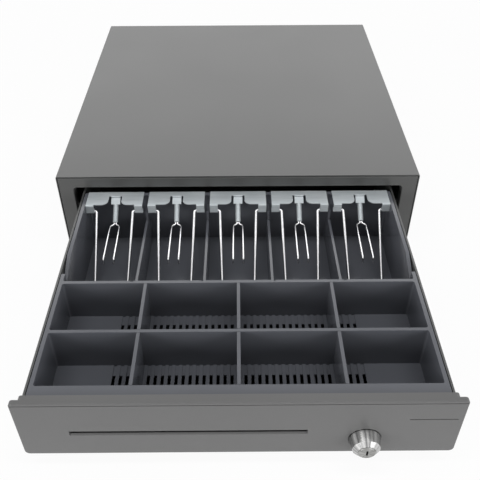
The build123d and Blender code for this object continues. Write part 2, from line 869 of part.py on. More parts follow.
def latch_pivot_pin():
    """Shouldered pin through the bracket, which the lever turns on."""
    low = base_z + sheet
    lever_low = base_z + latch_low
    lever_high = lever_low + latch_sheet
    head_low = lever_high + run_gap
    shoulder_radius = latch_pin_radius + bracket_sheet
    pin = rod_z(low, head_low, latch_x, latch_y, latch_pin_radius)
    pin += rod_z(bracket_top_z, lever_low - run_gap, latch_x, latch_y, shoulder_radius)
    pin += rod_z(head_low, head_low + bracket_sheet, latch_x, latch_y, shoulder_radius)
    return pin


eject_x = 80.0
eject_z = base_z + 40.0
eject_spring_radius = 7.0
eject_wire = 1.6
eject_free_length = 88.0
eject_guide_radius = 4.8
eject_guide_length = 30.0
eject_flange_radius = 10.0


def eject_spring_guide():
    """Guide post on the rear wall that holds the ejector spring."""
    wall_y = case_back - 2 * sheet
    flange = rod_y(wall_y - striker_sheet, wall_y, eject_x, eject_z, eject_flange_radius)
    post = rod_y(wall_y - eject_guide_length, wall_y, eject_x, eject_z, eject_guide_radius)
    return flange + post


def eject_spring():
    """Spring that pushes the drawer out when the latch lets go, at its free length."""
    seat_y = case_back - 2 * sheet - striker_sheet
    free_y = seat_y - eject_free_length
    bore_radius = eject_spring_radius - eject_wire
    outer = rod_y(free_y, seat_y, eject_x, eject_z, eject_spring_radius)
    return outer - rod_y(free_y - overrun, seat_y + overrun, eject_x, eject_z, bore_radius)


switch_x = -90.0
switch_half_width = 10.0
switch_half_depth = 5.0
switch_height = 16.0
switch_leaf = 0.6


def status_switch():
    """Small switch that reports the closed drawer through its leaf."""
    y = closed_tray_back + striker_reach + switch_half_depth
    switch = block(
        switch_x - switch_half_width, switch_x + switch_half_width,
        y - switch_half_depth, y + switch_half_depth,
        base_z + sheet, base_z + switch_height,
    )
    leaf_x = switch_x - switch_half_width
    leaf_front = closed_tray_back + pass_gap
    switch += block(
        leaf_x, leaf_x + switch_leaf, leaf_front, y, base_z + switch_height / 2, base_z + switch_height
    )
    return switch


# The till
pocket_left = lock_x - nut_flat - pass_gap
pocket_right = lock_x + cam_length + cam_floor_gap
pocket_back = cam_y + cam_sheet + cam_gap + screw_head_height + cam_end_gap
pocket_high = lock_z + nut_flat / math.cos(math.pi / 6) + screw_gap + pass_gap
till_corner = 2.0
till_edge = 0.5
scoop_end = 10.0
scoop_length = 28.0
scoop_depth = 11.0
rib_slot_gap = 12.0
rib_left = media_slot_left - rib_slot_gap
rib_right = media_slot_right + rib_slot_gap
groove_depth = 1.2
comb_side_count = int((till_inner - comb_end_room) / comb_pitch)
coin_divider_steps = int((pocket_left - till_wall - coin_divider_width / 2) / comb_pitch)


def comb_cuts(row_back):
    """Grooves and through slots in one coin row's floor, where the dividers' feet fit."""
    cuts = []
    half = comb_slot_width / 2
    groove_front = row_back - comb_groove_length
    slot_front = groove_front - comb_slot_length
    groove_low = coin_floor_z - comb_groove_depth
    slot_low = coin_floor_low_z - overrun
    above = coin_floor_z + overrun
    for step in range(-comb_side_count, comb_side_count + 1):
        x = step * comb_pitch
        cuts.append(block(x - half, x + half, groove_front, row_back, groove_low, above))
        cuts.append(block(x - half, x + half, slot_front, groove_front, slot_low, above))
    return cuts


bill_divider_xs = [(i + 1 - bill_count / 2) * bill_pitch for i in range(bill_count - 1)]
clip_xs = [(i - (bill_count - 1) / 2) * bill_pitch for i in range(bill_count)]


def divider_grooves():
    """Upright grooves for the bill dividers' ends."""
    half = bill_divider_width / 2 + screw_gap
    above = till_high_z + overrun
    grooves = []
    for x in bill_divider_xs:
        for y0, y1 in ((bill_front - groove_depth, bill_front), (bill_back, bill_back + groove_depth)):
            grooves.append(block(x - half, x + half, y0, y1, bill_floor_z, above))
    return grooves


def scoop_cut():
    """Room over the side walls beside the coin wall, sloping down towards it."""
    scoop_front = bill_front + scoop_end
    scoop_back = scoop_front + scoop_length
    outline = Polyline(
        (scoop_front, till_high_z + overrun),
        (scoop_front, till_high_z - scoop_depth),
        (scoop_back, till_high_z),
        (scoop_back, till_high_z + overrun),
        close=True,
    )
    face = Plane.YZ * make_face(outline)
    return extrude(face, till_side + overrun, both=True)


def lock_pocket():
    """Walls round the lock's nut and cam, standing in the front coin row."""
    return block(
        pocket_left - till_wall, pocket_right + till_wall, coin_front - till_wall, pocket_back + till_wall,
        till_low_z, pocket_high + till_wall,
    )


def till_tray():
    """One moulding: two coin rows on a raised floor with a comb, and a deep bill bay behind."""
    tray = block(-till_side, till_side, till_front, till_back, till_low_z, till_high_z)
    tray = fillet(tray.edges().filter_by(Axis.Z), till_corner)
    for y0, y1 in ((coin_front, coin_bar_front), (coin_bar_back, coin_wall_front)):
        cup = block(-till_inner, till_inner, y0, y1, coin_floor_z, till_high_z + overrun)
        tray -= fillet(cup.edges().filter_by(Axis.Z), till_corner)
    bay = block(-till_inner, till_inner, bill_front, bill_back, bill_floor_z, till_high_z + overrun)
    tray -= fillet(bay.edges().filter_by(Axis.Z), till_corner)
    tray -= block(
        -till_side - overrun, till_side + overrun, bill_back - till_corner, till_back + overrun,
        clip_low_z, till_high_z + overrun,
    )
    under = block(
        -till_inner, till_inner, till_front - overrun, coin_wall_front,
        till_low_z - overrun, coin_floor_low_z,
    )
    for x in (rib_left, rib_right):
        rib_side = x - till_wall / 2
        under -= block(
            rib_side, rib_side + till_wall, coin_front, coin_wall_front, till_low_z, coin_floor_low_z
        )
    tray -= under
    tray -= block(
        -till_inner, till_inner, till_front - overrun, coin_front - till_wall,
        till_low_z - overrun, till_high_z - till_rim_height,
    )
    tray -= scoop_cut()
    tray += lock_pocket()
    tray -= block(
        pocket_left, pocket_right, till_front - overrun, pocket_back, till_low_z - overrun, pocket_high
    )
    tray = tray - comb_cuts(coin_bar_front) - comb_cuts(coin_wall_front)
    return tray - divider_grooves()


divider_foot_depth = 4.0
divider_foot_gap = 0.1
divider_edge = 0.6


def coin_dividers(row_front, row_back):
    """Dividers of one coin row, each with a foot in a slot of the comb."""
    half = coin_divider_width / 2
    foot_half = comb_slot_width / 2 - divider_foot_gap
    foot_back = row_back - comb_groove_length - divider_foot_gap
    foot_front = row_back - comb_groove_length - comb_slot_length + divider_foot_gap
    foot_low = coin_floor_z - divider_foot_depth
    dividers = []
    for step in (-coin_divider_steps, 0, coin_divider_steps):
        x = step * comb_pitch
        divider = block(
            x - half, x + half, row_front + seat_gap, row_back - seat_gap, coin_floor_z, till_high_z
        )
        divider = fillet(divider.edges().filter_by(Axis.Y).group_by(Axis.Z)[-1], divider_edge)
        divider += block(x - foot_half, x + foot_half, foot_front, foot_back, foot_low, coin_floor_z)
        dividers.append(divider)
    return Compound(dividers)


post_drop = 14.0
post_length = 13.0
divider_rear_drop = 25.0
divider_front_drop = 20.0
divider_rear_gap = 1.0


def bill_divider(x):
    """Low wall between two bill compartments, with a taller post at the back."""
    y0 = bill_front - groove_depth + screw_gap
    y1 = bill_back + groove_depth - screw_gap
    post_front = bill_back - post_length
    outline = Polyline(
        (y0, bill_floor_z),
        (y0, till_high_z - divider_front_drop),
        (post_front - divider_rear_gap, till_high_z - divider_rear_drop),
        (post_front, till_high_z - post_drop),
        (y1, till_high_z - post_drop),
        (y1, bill_floor_z),
        close=True,
    )
    face = Plane.YZ * make_face(outline)
    return Pos(x, 0, 0) * extrude(face, bill_divider_width / 2, both=True)


# Bill clip, in places counted back from the bill bay's rear face
clip_front_reach = 19.45
clip_middle_reach = 17.0
pivot_reach = 17.0
pivot_drop = 9.0
knuckle_wall = 1.0
ear_width = 8.8
ear_inner = clip_half_width - ear_width
notch_half_width = 7.4
notch_reach = 1.4
notch_fillet = 7.0
tab_half_width = 5.0
tab_drop = 3.3
tab_rear = 1.9
tab_length = 6.0
sleeve_rear_reach = 2.0
sleeve_rear_drop = 5.3
sleeve_front_reach = 23.4
sleeve_front_drop = 20.5
sleeve_radius = 2.9
sleeve_wall = 0.5
hook_drop = 10.0
hook_bend = 0.9
pivot_y = bill_back - pivot_reach
pivot_z = till_high_z - pivot_drop


def clip_plate(x):
    """Stamped plate hooked over the till's rear wall, with ears for the bail and a rolled sleeve."""
    front = bill_back - clip_front_reach
    middle_front = bill_back - clip_middle_reach
    back = till_back + clip_sheet
    notch_back = bill_back - notch_reach
    plate = block(-clip_half_width, clip_half_width, front, back, clip_low_z, till_high_z)
    plate += block(-clip_half_width, clip_half_width, till_back, back, till_high_z - hook_drop, till_high_z)
    rear_top_edge = plate.edges().filter_by(Axis.X).group_by(Axis.Z)[-1].sort_by(Axis.Y)[-1]
    plate = fillet(rear_top_edge, hook_bend)
    below = clip_low_z - overrun
    above = till_high_z + overrun
    plate -= block(-ear_inner, ear_inner, front - overrun, middle_front, below, above)
    plate -= block(-notch_half_width, notch_half_width, front - overrun, notch_back, below, above)
    inner_corners = [
        edge for edge in plate.edges().filter_by(Axis.Z)
        if abs(abs(edge.center().X) - notch_half_width) < run_gap
        and abs(edge.center().Y - middle_front) < run_gap
    ]
    plate = fillet(inner_corners, notch_fillet)
    tab = block(
        -tab_half_width, tab_half_width, notch_back - clip_sheet, notch_back + clip_sheet / 2,
        till_high_z - tab_drop, till_high_z,
    )
    tab_front_edge = tab.edges().filter_by(Axis.X).group_by(Axis.Z)[-1].sort_by(Axis.Y)[0]
    plate += fillet(tab_front_edge, hook_bend)
    ear = block(ear_inner, clip_half_width, front, front + clip_sheet, pivot_z, till_high_z)
    pivot_radius = bail_wire / 2 + screw_gap
    ear += rod_x(ear_inner, clip_half_width, pivot_y, pivot_z, pivot_radius + knuckle_wall)
    ear -= rod_x(ear_inner - overrun, clip_half_width + overrun, pivot_y, pivot_z, pivot_radius)
    plate += ear + mirror(ear, about=Plane.YZ)
    front_folds = plate.edges().filter_by(Axis.X).group_by(Axis.Y)[0].group_by(Axis.Z)[-1]
    plate = fillet(front_folds, hook_bend)
    start = Vector(0, bill_back - sleeve_rear_reach, till_high_z - sleeve_rear_drop)
    end = Vector(0, bill_back - sleeve_front_reach, till_high_z - sleeve_front_drop)
    along = end - start
    sleeve_plane = Plane(origin=start, x_dir=(1, 0, 0), z_dir=along)
    strip = Box(2 * tab_half_width, clip_sheet, tab_length + tab_rear)
    plate += sleeve_plane * Pos(0, sleeve_radius - clip_sheet / 2, (tab_length - tab_rear) / 2) * strip
    sleeve_length = along.length - tab_length
    sleeve_start = sleeve_plane * Pos(0, 0, tab_length)
    plate += sleeve_start * extrude(Circle(sleeve_radius), sleeve_length)
    bore = sleeve_radius - sleeve_wall
    plate -= sleeve_start * extrude(Circle(bore), sleeve_length + overrun)
    return Pos(x, 0, 0) * plate


bail_end_inset = 1.2
bail_shoulder_inset = 2.4
bail_foot_inset = 2.7
bail_end = clip_half_width - bail_end_inset
bail_shoulder = ear_inner - bail_shoulder_inset
bail_foot = bail_shoulder - bail_foot_inset
bail_pivot_bend = 2.0
bail_foot_bend = 6.0
bail_drop = pivot_z - bill_floor_z - bail_wire / 2 - seat_gap
bail_length = bail_drop / math.sin(math.radians(bail_slope))


def bill_bail(x):
    """Wire bail that holds the notes down, pivoting in the clip's ears."""
    slope = math.radians(bail_slope)
    foot_y = pivot_y - bail_length * math.cos(slope)
    foot_z = pivot_z - bail_drop
    points = [
        (-bail_end, pivot_y, pivot_z),
        (-bail_shoulder, pivot_y, pivot_z),
        (-bail_foot, foot_y, foot_z),
        (bail_foot, foot_y, foot_z),
        (bail_shoulder, pivot_y, pivot_z),
        (bail_end, pivot_y, pivot_z),
    ]
    radii = [bail_pivot_bend, bail_foot_bend, bail_foot_bend, bail_pivot_bend]
    return Pos(x, 0, 0) * wire(points, radii, bail_wire / 2)


fork_strand_gap = 0.1
fork_neck_reach = 25.6
fork_neck_drop = 21.9
fork_shoulder_reach = 27.5
fork_shoulder_drop = 22.1
fork_shoulder_half = 5.2
fork_leg_half = 5.5
fork_leg_reach = 78.8
fork_leg_drop = 25.0
fork_tip_reach = 81.4
fork_tip_drop = 30.2
fork_neck_bend = 2.0
fork_shoulder_bend = 5.0
fork_tip_bend = 1.9
fork_rear_reach = 7.2


def bill_fork(x):
    """Two spring wires clenched in the sleeve, which spread into a fork over the notes."""
    strand = fork_wire / 2 + fork_strand_gap / 2
    slope = (sleeve_front_drop - sleeve_rear_drop) / (sleeve_front_reach - sleeve_rear_reach)
    rear_drop = sleeve_rear_drop + (fork_rear_reach - sleeve_rear_reach) * slope
    points = [
        (strand, bill_back - fork_rear_reach, till_high_z - rear_drop),
        (strand, bill_back - fork_neck_reach, till_high_z - fork_neck_drop),
        (fork_shoulder_half, bill_back - fork_shoulder_reach, till_high_z - fork_shoulder_drop),
        (fork_leg_half, bill_back - fork_leg_reach, till_high_z - fork_leg_drop),
        (fork_leg_half, bill_back - fork_tip_reach, till_high_z - fork_tip_drop),
    ]
    right = wire(points, [fork_neck_bend, fork_shoulder_bend, fork_tip_bend], fork_wire / 2)
    return Pos(x, 0, 0) * Compound([right, mirror(right, about=Plane.YZ)])


parts = {
    "case_cover": case_cover(),
    "base_pan": base_pan(),
    "front_frame": front_frame(),
    "case_screws": case_screws(),
    "rubber_feet": rubber_feet(),
    "foot_screws": foot_screws(),
    "cable_jack": cable_jack(),
    "stop_bumpers": stop_bumpers(),
    "lock_keeper": lock_keeper(),
    "latch_bracket": latch_bracket(),
    "latch_pivot_pin": latch_pivot_pin(),
    "latch_lever": latch_lever(),
    "latch_spring": latch_spring(),
    "solenoid_frame": solenoid_frame(),
    "solenoid_coil": solenoid_coil(),
    "solenoid_plunger": solenoid_plunger(),
    "eject_spring_guide": eject_spring_guide(),
    "eject_spring": eject_spring(),
    "status_switch": status_switch(),
    "drawer_tray": drawer_tray(),
    "striker": striker(),
    "front_panel": front_panel(),
    "panel_screws": panel_screws(),
    "lock_housing": lock_housing(),
    "lock_nut": lock_nut(),
    "lock_plug": lock_plug(),
    "lock_cam": lock_cam(),
    "till_tray": till_tray(),
    "coin_dividers_front": coin_dividers(coin_front, coin_bar_front),
    "coin_dividers_rear": coin_dividers(coin_bar_back, coin_wall_front),
}
for name, right_piece in (
    ("rail_support", rail_support()),
    ("rail_outer", rail_outer()),
    ("rail_inner", rail_inner()),
    ("ball_cage", ball_cage()),
    ("slide_balls", slide_balls()),
):
    for side, piece in both_sides(right_piece).items():
        parts[f"{name}_{side}"] = piece
for number, x in enumerate(bill_divider_xs, start=1):
    parts[f"bill_divider_{number}"] = bill_divider(x)
for number, x in enumerate(clip_xs, start=1):
    parts[f"clip_plate_{number}"] = clip_plate(x)
    parts[f"bill_bail_{number}"] = bill_bail(x)
    parts[f"bill_fork_{number}"] = bill_fork(x)

os.makedirs("parts", exist_ok=True)
for name, shape in parts.items():
    export_step(shape, f"parts/{name}.step")
print(len(parts), "parts")
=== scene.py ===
import json
import math

import bpy
from mathutils import Euler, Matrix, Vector

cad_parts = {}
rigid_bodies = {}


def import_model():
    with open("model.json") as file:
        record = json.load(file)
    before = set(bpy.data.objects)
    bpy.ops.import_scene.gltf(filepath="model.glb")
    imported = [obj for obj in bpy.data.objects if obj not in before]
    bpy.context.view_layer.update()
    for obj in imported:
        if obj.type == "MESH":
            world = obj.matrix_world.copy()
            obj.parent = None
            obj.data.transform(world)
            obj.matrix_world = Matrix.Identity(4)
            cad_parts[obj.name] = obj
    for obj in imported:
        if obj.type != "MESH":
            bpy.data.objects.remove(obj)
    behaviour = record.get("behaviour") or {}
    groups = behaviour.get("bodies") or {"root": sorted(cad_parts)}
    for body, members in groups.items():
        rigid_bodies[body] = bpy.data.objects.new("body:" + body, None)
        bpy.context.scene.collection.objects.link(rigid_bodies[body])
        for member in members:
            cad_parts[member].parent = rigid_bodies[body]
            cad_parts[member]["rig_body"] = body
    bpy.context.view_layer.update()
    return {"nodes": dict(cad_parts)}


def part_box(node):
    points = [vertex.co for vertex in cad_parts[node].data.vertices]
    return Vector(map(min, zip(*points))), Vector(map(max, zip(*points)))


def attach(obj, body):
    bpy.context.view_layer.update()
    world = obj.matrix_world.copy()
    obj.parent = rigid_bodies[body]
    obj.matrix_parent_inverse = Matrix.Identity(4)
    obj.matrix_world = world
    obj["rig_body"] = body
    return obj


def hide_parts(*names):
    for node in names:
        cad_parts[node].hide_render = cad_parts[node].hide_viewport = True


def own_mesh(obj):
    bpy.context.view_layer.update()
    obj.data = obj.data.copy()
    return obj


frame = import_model()
bpy.ops.object.select_all(action="DESELECT")
nodes_by_name = frame["nodes"]


# Base pan: the floor, low sides and rear wall of the case, cut and folded from one steel sheet.
# It carries a dark grey powder coat with a very fine pebbled skin.
def link_all(tree, pairs):
    """Links each pair of sockets, an output and the input that it feeds."""
    for output, fed in pairs:
        tree.links.new(output, fed)


def node_group(name, sockets):
    """A shader node group with these sockets, and its input and output nodes."""
    group = bpy.data.node_groups.new(name, "ShaderNodeTree")
    for label, kind, side in sockets:
        group.interface.new_socket(name=label, in_out=side, socket_type=kind)
    return group, group.nodes.new("NodeGroupInput"), group.nodes.new("NodeGroupOutput")


surface_skin, skin_in, skin_out = node_group("surface_skin", (
    ("Vector", "NodeSocketVector", "INPUT"),
    ("Cloud Scale", "NodeSocketFloat", "INPUT"),
    ("Grain Scale", "NodeSocketVector", "INPUT"),
    ("Grain Share", "NodeSocketFloat", "INPUT"),
    ("Tone", "NodeSocketFloat", "OUTPUT"),
    ("Grain", "NodeSocketFloat", "OUTPUT"),
))
cloud = surface_skin.nodes.new("ShaderNodeTexNoise")
cloud.inputs["Detail"].default_value = 3.0
stretch = surface_skin.nodes.new("ShaderNodeMapping")
grain = surface_skin.nodes.new("ShaderNodeTexNoise")
grain.inputs["Scale"].default_value = 1.0
grain.inputs["Detail"].default_value = 2.0
blend_tone = surface_skin.nodes.new("ShaderNodeMix")
even_tone = surface_skin.nodes.new("ShaderNodeMapRange")
even_tone.inputs["From Min"].default_value = 0.3
even_tone.inputs["From Max"].default_value = 0.7
link_all(surface_skin, (
    (skin_in.outputs["Vector"], cloud.inputs["Vector"]),
    (skin_in.outputs["Cloud Scale"], cloud.inputs["Scale"]),
    (skin_in.outputs["Vector"], stretch.inputs["Vector"]),
    (skin_in.outputs["Grain Scale"], stretch.inputs["Scale"]),
    (stretch.outputs["Vector"], grain.inputs["Vector"]),
    (skin_in.outputs["Grain Share"], blend_tone.inputs["Factor"]),
    (cloud.outputs["Fac"], blend_tone.inputs["A"]),
    (grain.outputs["Fac"], blend_tone.inputs["B"]),
    (blend_tone.outputs["Result"], even_tone.inputs["Value"]),
    (even_tone.outputs["Result"], skin_out.inputs["Tone"]),
    (grain.outputs["Fac"], skin_out.inputs["Grain"]),
))


def toned_material(name, dark, light, rough, metallic, sheen):
    """A material whose colour and gloss follow a tone, and the two sockets that take the tone."""
    material = bpy.data.materials.new(name)
    material.use_nodes = True
    tree = material.node_tree
    shader = tree.nodes["Principled BSDF"]
    shader.inputs["Metallic"].default_value = metallic
    shader.inputs["Specular IOR Level"].default_value = sheen
    colour = tree.nodes.new("ShaderNodeMix")
    colour.data_type = "RGBA"
    colour.inputs["A"].default_value = (*dark, 1)
    colour.inputs["B"].default_value = (*light, 1)
    gloss = tree.nodes.new("ShaderNodeMapRange")
    gloss.inputs["To Min"].default_value = rough[0]
    gloss.inputs["To Max"].default_value = rough[1]
    link_all(tree, (
        (colour.outputs["Result"], shader.inputs["Base Color"]),
        (gloss.outputs["Result"], shader.inputs["Roughness"]),
    ))
    return material, (colour.inputs["Factor"], gloss.inputs["Value"])


def finish(
    name, dark, light, rough, cloud_scale, grain_scale, grain_share, grain_depth,
    metallic=0.0, sheen=0.5,
):
    """A surface whose colour, gloss and skin vary a little from place to place."""
    material, (colour_tone, gloss_tone) = toned_material(name, dark, light, rough, metallic, sheen)
    tree = material.node_tree
    place = tree.nodes.new("ShaderNodeTexCoord")
    skin = tree.nodes.new("ShaderNodeGroup")
    skin.node_tree = surface_skin
    skin.inputs["Cloud Scale"].default_value = cloud_scale
    skin.inputs["Grain Scale"].default_value = grain_scale
    skin.inputs["Grain Share"].default_value = grain_share
    bump = tree.nodes.new("ShaderNodeBump")
    bump.inputs["Distance"].default_value = grain_depth
    link_all(tree, (
        (place.outputs["Object"], skin.inputs["Vector"]),
        (skin.outputs["Tone"], colour_tone),
        (skin.outputs["Tone"], gloss_tone),
        (skin.outputs["Grain"], bump.inputs["Height"]),
        (bump.outputs["Normal"], tree.nodes["Principled BSDF"].inputs["Normal"]),
    ))
    return material


def dress(piece, material):
    """Gives a piece one material all over."""
    piece.data.materials.clear()
    piece.data.materials.append(material)


case_paint = finish(
    "case_paint", (0.053, 0.054, 0.053), (0.061, 0.062, 0.061), (0.34, 0.4),
    9.0, (1900, 1900, 1900), 0.35, 0.000012, sheen=0.6,
)
dress(nodes_by_name["base_pan"], case_paint)


# Feet: four moulded rubber feet under the corners, each held by a screw sunk in its recess.
# The rubber is dull black, and the screws are zinc plated.
foot_rubber = finish(
    "foot_rubber", (0.018, 0.018, 0.018), (0.03, 0.03, 0.031), (0.7, 0.85),
    60.0, (1500, 1500, 1500), 0.4, 0.00003,
)
screw_steel = finish(
    "screw_steel", (0.55, 0.55, 0.54), (0.68, 0.68, 0.66), (0.24, 0.38),
    90.0, (700, 700, 700), 0.4, 0.000004, metallic=1.0,
)
dress(nodes_by_name["rubber_feet"], foot_rubber)
dress(nodes_by_name["foot_screws"], screw_steel)


# Case cover: top and sides in one folded steel sheet, screwed to the rear wall by its flange.
# Its folds are round, and its cut edges are eased by the thickness of the paint.
weld_distance = 0.000002
flat_within = math.radians(0.5)
sharp_from = math.radians(28)
smooth_within = math.radians(40)


def new_piece(node, mesh):
    """A new object that stands for a CAD node, selected alone and active."""
    piece = bpy.data.objects.new(node + "_finished", mesh)
    bpy.context.scene.collection.objects.link(piece)
    bpy.ops.object.select_all(action="DESELECT")
    piece.select_set(True)
    bpy.context.view_layer.objects.active = piece
    return piece


def eased_copy(node, width):
    """A copy of a CAD node whose sharp edges are rounded off by a small width."""
    cad = nodes_by_name[node]
    piece = new_piece(node, cad.data.copy())
    bpy.ops.mesh.customdata_custom_splitnormals_clear()
    bpy.ops.object.mode_set(mode="EDIT")
    bpy.ops.mesh.select_all(action="SELECT")
    bpy.ops.mesh.remove_doubles(threshold=weld_distance)
    bpy.ops.mesh.dissolve_limited(angle_limit=flat_within)
    bpy.ops.object.mode_set(mode="OBJECT")
    bevel = piece.modifiers.new("eased", "BEVEL")
    bevel.width = width
    bevel.segments = 2
    bevel.limit_method = "ANGLE"
    bevel.angle_limit = sharp_from
    bpy.ops.object.modifier_apply(modifier="eased")
    bpy.ops.object.shade_smooth_by_angle(angle=smooth_within)
    flat = piece.modifiers.new("flat", "WEIGHTED_NORMAL")
    flat.keep_sharp = True
    bpy.ops.object.modifier_apply(modifier="flat")
    piece.select_set(False)
    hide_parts(node)
    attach(piece, cad["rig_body"])
    return piece


cover = eased_copy("case_cover", 0.00025)
dress(cover, case_paint)


# Front frame: the folded steel border of the opening, nested in the cover with a fine groove.
# Its flanges turn back into the case, and it has the cover's paint.
opening_frame = eased_copy("front_frame", 0.0003)
dress(opening_frame, case_paint)


# Cover screws: three pan-head screws through the cover's rear flange into the rear wall.
# They are plated steel.
dress(nodes_by_name["case_screws"], screw_steel)


# Cable socket: a black moulded jack in the rear wall, for the cable that opens the drawer.
# Its plastic is glossier than the feet's rubber.
jack_plastic = finish(
    "jack_plastic", (0.022, 0.022, 0.023), (0.034, 0.034, 0.035), (0.35, 0.48),
    80.0, (1600, 1600, 1600), 0.4, 0.00001,
)
dress(nodes_by_name["cable_jack"], jack_plastic)


# Slides: cold-rolled steel channels with a ball cage between them, one pair on each side.
# They are zinc plated, with lines along them from the rolling.
slide_steel = finish(
    "slide_steel", (0.5, 0.51, 0.51), (0.66, 0.67, 0.66), (0.28, 0.42),
    22.0, (900, 30, 900), 0.5, 0.000006, metallic=1.0,
)
for side in ("left", "right"):
    for rail in ("rail_support", "rail_outer", "rail_inner", "ball_cage"):
        dress(nodes_by_name[f"{rail}_{side}"], slide_steel)
    dress(nodes_by_name[f"slide_balls_{side}"], screw_steel)
dress(nodes_by_name["stop_bumpers"], foot_rubber)


# Latch: a lever on a pin, its bracket, and the solenoid that draws it aside, all in the back.
# The sheet pieces are zinc plated, the coil is wound in amber tape, and the switch is black.
latch_steel = finish(
    "latch_steel", (0.5, 0.5, 0.49), (0.64, 0.64, 0.62), (0.3, 0.44),
    40.0, (1100, 1100, 1100), 0.4, 0.000006, metallic=1.0,
)
winding_tape = finish(
    "winding_tape", (0.36, 0.15, 0.02), (0.5, 0.23, 0.04), (0.35, 0.5),
    50.0, (2600, 300, 300), 0.5, 0.00002,
)
for node in (
    "latch_bracket", "latch_lever", "striker",
    "lock_keeper", "solenoid_frame", "eject_spring_guide",
):
    dress(nodes_by_name[node], latch_steel)
for node in ("latch_pivot_pin", "solenoid_plunger"):
    dress(nodes_by_name[node], screw_steel)
dress(nodes_by_name["solenoid_coil"], winding_tape)
dress(nodes_by_name["status_switch"], jack_plastic)


# Springs: the latch's return spring and the drawer's ejector spring, coiled from round wire.
# They are bright plated.
coil_steps = 20
wire_sides = 8
wire_smooth_within = math.radians(60)


def coil_spring(node, axis, wire, turns):
    """A spring coiled from round wire, in place of a plain CAD tube."""
    low, high = (Vector(corner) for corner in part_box(node))
    middle = (low + high) / 2
    along = Vector([float(number == axis) for number in range(3)])
    up = Vector((0, 0, 1))
    side = along.cross(up)
    coil_radius = (high.z - low.z - wire) / 2
    first = low[axis] + wire / 2
    length = high[axis] - low[axis] - wire
    steps = turns * coil_steps
    points = []
    for step in range(steps + 1):
        turn = 2 * math.pi * step / coil_steps
        outward = side * math.cos(turn) + up * math.sin(turn)
        onward = up * math.cos(turn) - side * math.sin(turn)
        heading = (onward * coil_radius * 2 * math.pi * turns + along * length).normalized()
        across = heading.cross(outward)
        centre = middle + outward * coil_radius
        centre[axis] = first + length * step / steps
        for number in range(wire_sides):
            angle = 2 * math.pi * number / wire_sides
            around = outward * math.cos(angle) + across * math.sin(angle)
            points.append(centre + around * wire / 2)
    faces = [
        (
            step * wire_sides + number,
            step * wire_sides + (number + 1) % wire_sides,
            (step + 1) * wire_sides + (number + 1) % wire_sides,
            (step + 1) * wire_sides + number,
        )
        for step in range(steps)
        for number in range(wire_sides)
    ]
    last = steps * wire_sides
    faces += [tuple(reversed(range(wire_sides))), tuple(range(last, last + wire_sides))]
    mesh = bpy.data.meshes.new(node + "_coils")
    mesh.from_pydata(points, [], faces)
    piece = new_piece(node, mesh)
    bpy.ops.object.mode_set(mode="EDIT")
    bpy.ops.mesh.select_all(action="SELECT")
    bpy.ops.mesh.normals_make_consistent(inside=False)
    bpy.ops.object.mode_set(mode="OBJECT")
    bpy.ops.object.shade_smooth_by_angle(angle=wire_smooth_within)
    piece.select_set(False)
    dress(piece, screw_steel)
    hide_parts(node)
    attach(piece, nodes_by_name[node]["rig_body"])
    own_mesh(piece)


coil_spring("latch_spring", 0, 0.0006, 13)
coil_spring("eject_spring", 1, 0.0016, 12)


# Drawer tray: the folded steel box that the till stands in, with hemmed rims.
# It is painted like the case.
tray = eased_copy("drawer_tray", 0.00025)
dress(tray, case_paint)


# Front panel: one moulding with a lip, a slot and a trim line, screwed to the tray.
# It is dark grey plastic with a fine grain, lighter than the case's paint.
panel_plastic = finish(
    "panel_plastic", (0.108, 0.108, 0.108), (0.12, 0.12, 0.12), (0.28, 0.34),
    8.0, (2200, 2200, 2200), 0.35, 0.000012,
)
panel = eased_copy("front_panel", 0.0002)
dress(panel, panel_plastic)
dress(nodes_by_name["panel_screws"], screw_steel)


# Lock: a turned and plated bezel, its plug with the key slot, and the nut and cam behind.
# Soft light and dark bands run outward over the turned faces. Their colour is a painted reflection
# streak that stands in for the sheen of turned metal, and their gloss varies with them.
painted_streak_bands, bands_in, bands_out = node_group("painted_streak_bands", (
    ("Vector", "NodeSocketVector", "INPUT"),
    ("Centre", "NodeSocketVector", "INPUT"),
    ("Count", "NodeSocketFloat", "INPUT"),
    ("Band", "NodeSocketFloat", "OUTPUT"),
))
from_axis = painted_streak_bands.nodes.new("ShaderNodeVectorMath")
from_axis.operation = "SUBTRACT"
across = painted_streak_bands.nodes.new("ShaderNodeVectorMath")
across.operation = "MULTIPLY"
across.inputs[1].default_value = (1, 0, 1)
outward = painted_streak_bands.nodes.new("ShaderNodeVectorMath")
outward.operation = "NORMALIZE"
band_noise = painted_streak_bands.nodes.new("ShaderNodeTexNoise")
band_noise.inputs["Detail"].default_value = 1.5
band_spread = painted_streak_bands.nodes.new("ShaderNodeMapRange")
band_spread.inputs["From Min"].default_value = 0.36
band_spread.inputs["From Max"].default_value = 0.64
link_all(painted_streak_bands, (
    (bands_in.outputs["Vector"], from_axis.inputs[0]),
    (bands_in.outputs["Centre"], from_axis.inputs[1]),
    (from_axis.outputs["Vector"], across.inputs[0]),
    (across.outputs["Vector"], outward.inputs[0]),
    (outward.outputs["Vector"], band_noise.inputs["Vector"]),
    (bands_in.outputs["Count"], band_noise.inputs["Scale"]),
    (band_noise.outputs["Fac"], band_spread.inputs["Value"]),
    (band_spread.outputs["Result"], bands_out.inputs["Band"]),
))


def turned_metal(name, dark, light, rough, centre, count):
    """A turned and plated metal with soft bands of painted reflection streaks and varying gloss
    that run out from the axis of the lathe.
    """
    material, (colour_tone, gloss_tone) = toned_material(name, dark, light, rough, 1.0, 0.5)
    tree = material.node_tree
    place = tree.nodes.new("ShaderNodeTexCoord")
    bands = tree.nodes.new("ShaderNodeGroup")
    bands.node_tree = painted_streak_bands
    bands.inputs["Centre"].default_value = centre
    bands.inputs["Count"].default_value = count
    link_all(tree, (
        (place.outputs["Object"], bands.inputs["Vector"]),
        (bands.outputs["Band"], colour_tone),
        (bands.outputs["Band"], gloss_tone),
    ))
    return material


